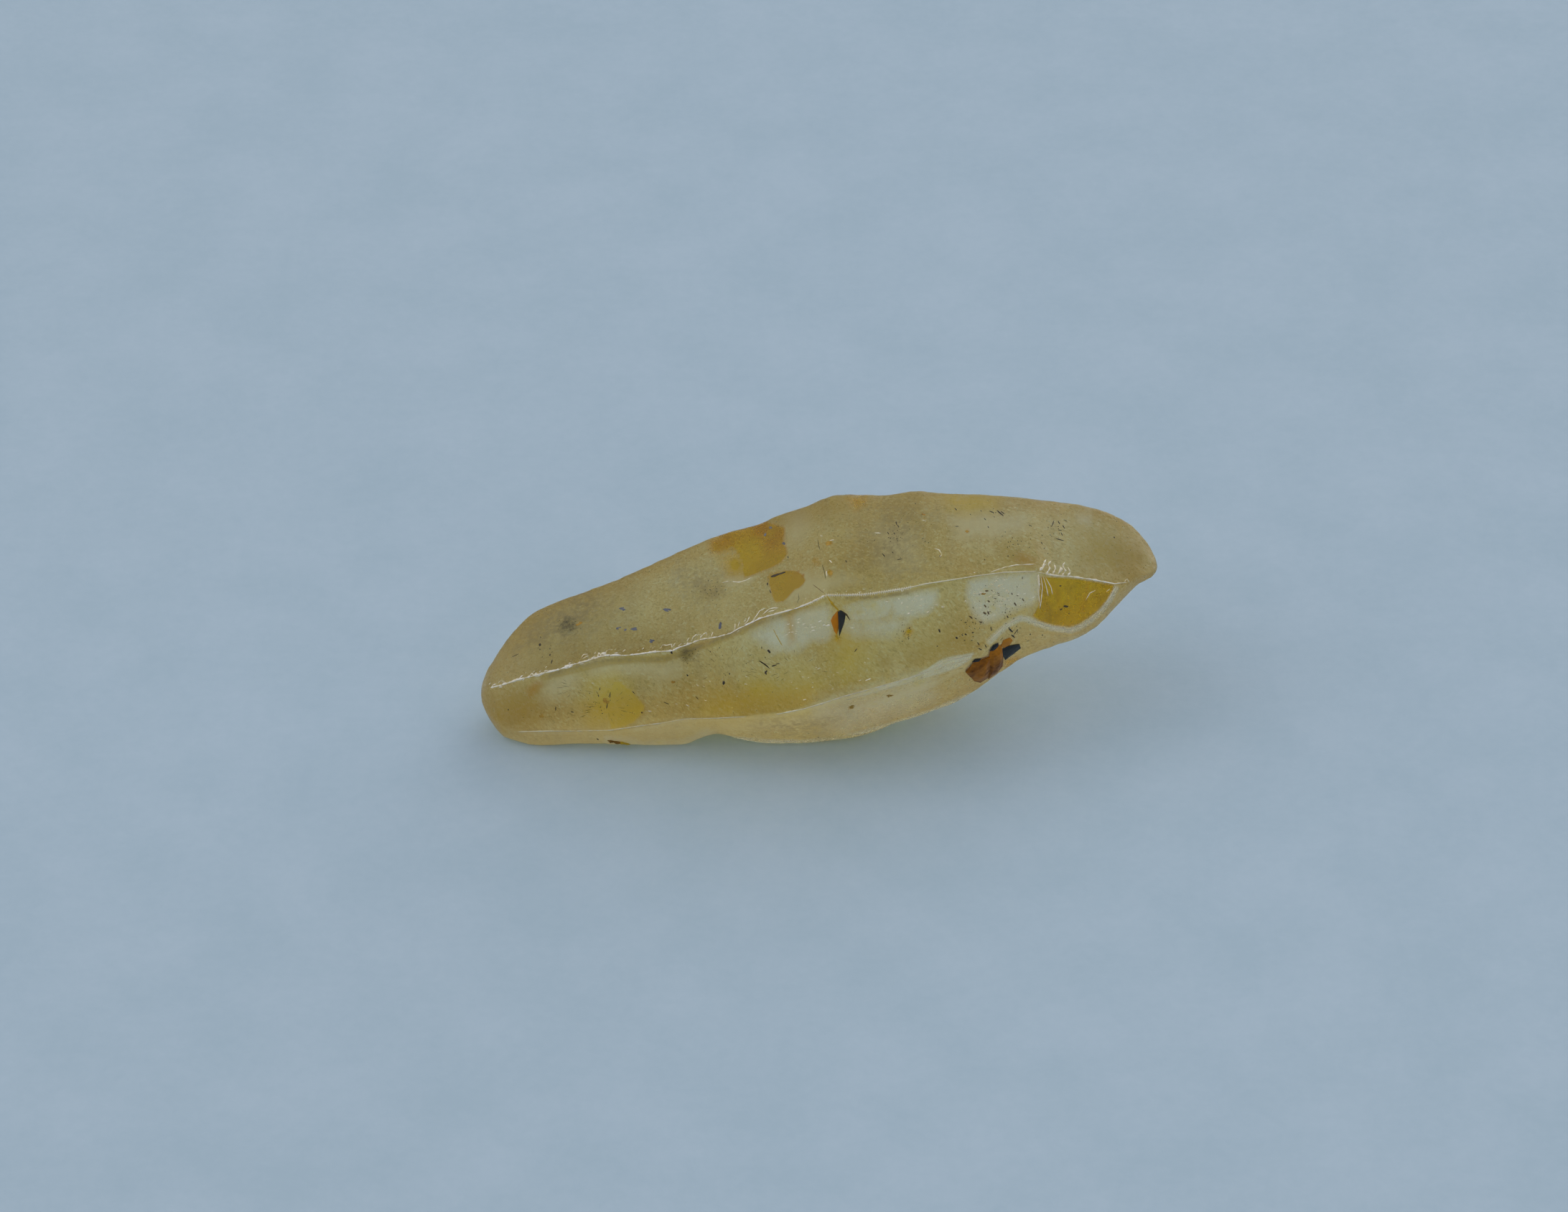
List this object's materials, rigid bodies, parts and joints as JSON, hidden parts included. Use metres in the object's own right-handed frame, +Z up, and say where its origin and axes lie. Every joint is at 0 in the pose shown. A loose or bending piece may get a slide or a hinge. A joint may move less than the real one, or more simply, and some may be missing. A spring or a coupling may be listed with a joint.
{
  "type": "sapphire crystal",
  "caption": "Water-worn yellow sapphire crystal: a long hexagonal double pyramid lying on its side, one tip raised, clear with amber stains and dark inclusions.",
  "frame": {"origin": "middle of the crystal's footprint box, on the surface that it rests on", "axes": "+X along the crystal towards its raised tip, +Y to its back, +Z up"},
  "size_m": [0.0202, 0.0064, 0.0065],
  "materials": {
    "crystal": "translucent pale yellow, water-worn satin skin with polished ridges"
  },
  "bodies": {
    "root": {"sapphire_crystal": "crystal"}
  },
  "joints": []
}
